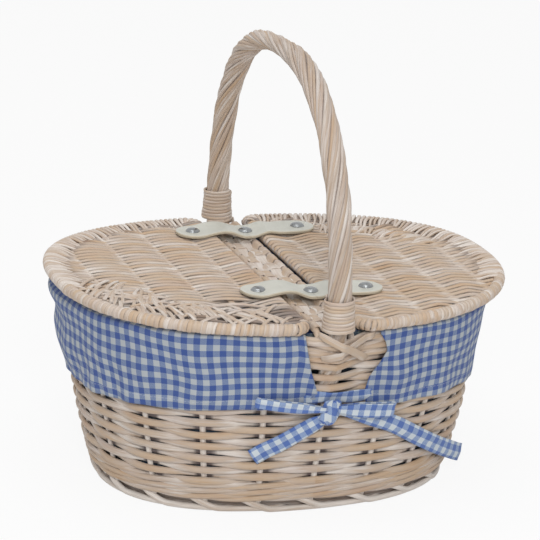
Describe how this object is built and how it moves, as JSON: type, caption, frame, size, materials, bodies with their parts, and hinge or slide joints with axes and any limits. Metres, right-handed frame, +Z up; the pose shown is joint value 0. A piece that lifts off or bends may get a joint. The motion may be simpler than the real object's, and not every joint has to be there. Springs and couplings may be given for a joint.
{
  "type": "picnic basket",
  "caption": "Oval woven willow picnic basket with a twisted bow handle, a pair of lids on leather strap hinges and a gingham liner tied below the handle.",
  "frame": {"origin": "centre of the foot on the surface that the basket stands on", "axes": "+X along the basket towards the right lid, +Y towards the back, +Z up; the shown bow is on the -Y side"},
  "size_m": [0.3792, 0.3442, 0.3696],
  "materials": {
    "willow": "whitewashed split and round willow weavers, satin",
    "willow_rod": "whitewashed round willow rods, satin",
    "skein": "flat shaved willow skein, satin",
    "leather": "off-white coated leather with cream cut edge",
    "nickel": "nickel-plated domed caps",
    "gingham": "blue and white woven cotton gingham"
  },
  "bodies": {
    "basket": {"base_weave": "willow", "foot_border": "willow", "upsett_wale": "willow", "side_weave": "willow", "top_wale": "willow", "rim_border": "willow_rod", "handle_bow": "willow_rod", "whipping_front": "skein", "lashing_front_under": "skein", "lashing_front_over": "skein", "whipping_back": "skein", "lashing_back_under": "skein", "lashing_back_over": "skein", "bridge_rod_left": "willow_rod", "bridge_rod_right": "willow_rod", "bridge_weave": "skein", "strap_front_middle": "leather", "rivet_front_middle": "nickel", "strap_back_middle": "leather", "rivet_back_middle": "nickel", "liner_bag": "gingham", "liner_cuff_left": "gingham", "liner_cuff_right": "gingham", "tie_front_band": "gingham", "tie_front_left_loop": "gingham", "tie_front_right_loop": "gingham", "tie_front_left_tail": "gingham", "tie_front_right_tail": "gingham", "tie_front_knot": "gingham", "tie_back_band": "gingham", "tie_back_left_loop": "gingham", "tie_back_right_loop": "gingham", "tie_back_left_tail": "gingham", "tie_back_right_tail": "gingham", "tie_back_knot": "gingham"},
    "lid_left": {"lid_left_hoop": "skein", "lid_left_edge_rod": "skein", "lid_left_weave": "willow", "strap_front_left_flap": "leather", "rivet_front_left": "nickel", "strap_back_left_flap": "leather", "rivet_back_left": "nickel"},
    "lid_right": {"lid_right_hoop": "skein", "lid_right_edge_rod": "skein", "lid_right_weave": "willow", "strap_front_right_flap": "leather", "rivet_front_right": "nickel", "strap_back_right_flap": "leather", "rivet_back_right": "nickel"}
  },
  "joints": [
    {"name": "lid_left_hinge", "type": "hinge", "parent": "basket", "child": "lid_left", "pos_m": [-0.0171, 0, 0.1749], "axis": [0, 1, 0], "range_deg": [0, 95]},
    {"name": "lid_right_hinge", "type": "hinge", "parent": "basket", "child": "lid_right", "pos_m": [0.0171, 0, 0.1749], "axis": [0, -1, 0], "range_deg": [0, 95]}
  ]
}
